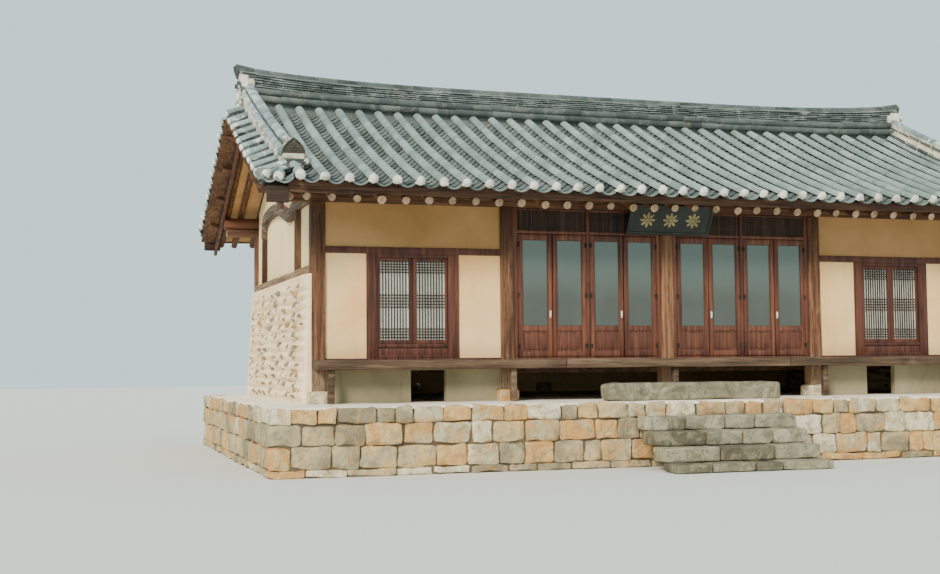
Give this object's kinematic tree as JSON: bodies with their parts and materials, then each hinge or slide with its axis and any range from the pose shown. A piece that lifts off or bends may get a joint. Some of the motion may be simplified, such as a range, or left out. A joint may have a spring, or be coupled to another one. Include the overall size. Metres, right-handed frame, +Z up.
{
  "type": "traditional tiled house",
  "caption": "Traditional timber-framed house with a curved grey tile gable roof, stone gable walls, glazed door leaves, a narrow ledge and a squared-stone platform with front steps.",
  "frame": {"origin": "on the ground under the middle post of the front row, halfway between the front and the rear posts: the middle of the platform's width, on its underside", "axes": "+X along the ridge, to the right of someone facing the front; -Y is the front with the doors and the steps; +Z up"},
  "size_m": [11.36, 8.3903, 5.5868],
  "materials": {
    "platform_stone": "rough squared blocks",
    "step_stone": "dressed slabs",
    "rubble_wall": "rubble in lime and earth mortar",
    "timber": "oiled, dark red-brown",
    "old_timber": "weathered",
    "door_wood": "stained, half gloss",
    "board": "painted, dark",
    "plaster": "smooth earth plaster",
    "earth_bed": "packed earth on laths",
    "roof_tile": "fired clay, matt"
  },
  "bodies": {
    "house": {"stone_platform": "platform_stone", "front_steps": "step_stone", "stepping_stone": "step_stone", "front_post_1": "timber", "front_post_2": "timber", "front_post_3": "timber", "front_post_4": "timber", "front_post_5": "timber", "rear_frame": "timber", "rear_wall": "plaster", "floor": "old_timber", "front_ledge": "old_timber", "base_wall_left": "plaster", "base_wall_right": "plaster", "window_frame_left": "timber", "window_frame_right": "timber", "front_wall_left": "plaster", "front_wall_right": "plaster", "window_leaves_left": "old_timber", "window_leaves_right": "old_timber", "door_frame_left": "door_wood", "door_frame_right": "door_wood", "name_board": "board", "purlin_front": "timber", "purlin_rear": "timber", "ridge_purlin": "timber", "head_beam_front": "timber", "head_beam_rear": "timber", "cross_beam_1": "timber", "cross_beam_2": "timber", "cross_beam_3": "timber", "gable_frame_left": "old_timber", "gable_frame_right": "old_timber", "crooked_beam_left": "old_timber", "crooked_beam_right": "old_timber", "gable_wall_left": "plaster", "gable_wall_right": "plaster", "stone_wall_left": "rubble_wall", "stone_wall_right": "rubble_wall", "rafters_front": "timber", "rafters_rear": "timber", "bargeboard_left": "timber", "bargeboard_right": "timber", "roof_bed": "earth_bed", "roof_tiles_front": "roof_tile", "roof_tiles_rear": "roof_tile", "main_ridge_left": "roof_tile", "main_ridge_right": "roof_tile", "descending_ridge_front_left": "roof_tile", "descending_ridge_front_right": "roof_tile", "descending_ridge_rear_left": "roof_tile", "descending_ridge_rear_right": "roof_tile"},
    "leaf_left_1": {"door_leaf_left_1": "door_wood"},
    "leaf_left_2": {"door_leaf_left_2": "door_wood"},
    "leaf_left_3": {"door_leaf_left_3": "door_wood"},
    "leaf_left_4": {"door_leaf_left_4": "door_wood"},
    "leaf_right_1": {"door_leaf_right_1": "door_wood"},
    "leaf_right_2": {"door_leaf_right_2": "door_wood"},
    "leaf_right_3": {"door_leaf_right_3": "door_wood"},
    "leaf_right_4": {"door_leaf_right_4": "door_wood"}
  },
  "joints": [
    {"name": "hinge_left_1", "type": "hinge", "parent": "house", "child": "leaf_left_1", "pos_m": [-0.1533, -2.47774, 2.19], "axis": [0, 0, 1], "range_deg": [0, 90]},
    {"name": "hinge_left_2", "type": "hinge", "parent": "house", "child": "leaf_left_2", "pos_m": [-1.122, -2.47774, 2.19], "axis": [0, 0, -1], "range_deg": [0, 90]},
    {"name": "hinge_left_3", "type": "hinge", "parent": "house", "child": "leaf_left_3", "pos_m": [-1.178, -2.47774, 2.19], "axis": [0, 0, 1], "range_deg": [0, 90]},
    {"name": "hinge_left_4", "type": "hinge", "parent": "house", "child": "leaf_left_4", "pos_m": [-2.1467, -2.47774, 2.19], "axis": [0, 0, -1], "range_deg": [0, 90]},
    {"name": "hinge_right_1", "type": "hinge", "parent": "house", "child": "leaf_right_1", "pos_m": [0.1533, -2.47774, 2.19], "axis": [0, 0, -1], "range_deg": [0, 90]},
    {"name": "hinge_right_2", "type": "hinge", "parent": "house", "child": "leaf_right_2", "pos_m": [1.122, -2.47774, 2.19], "axis": [0, 0, 1], "range_deg": [0, 90]},
    {"name": "hinge_right_3", "type": "hinge", "parent": "house", "child": "leaf_right_3", "pos_m": [1.178, -2.47774, 2.19], "axis": [0, 0, -1], "range_deg": [0, 90]},
    {"name": "hinge_right_4", "type": "hinge", "parent": "house", "child": "leaf_right_4", "pos_m": [2.1467, -2.47774, 2.19], "axis": [0, 0, 1], "range_deg": [0, 90]}
  ]
}
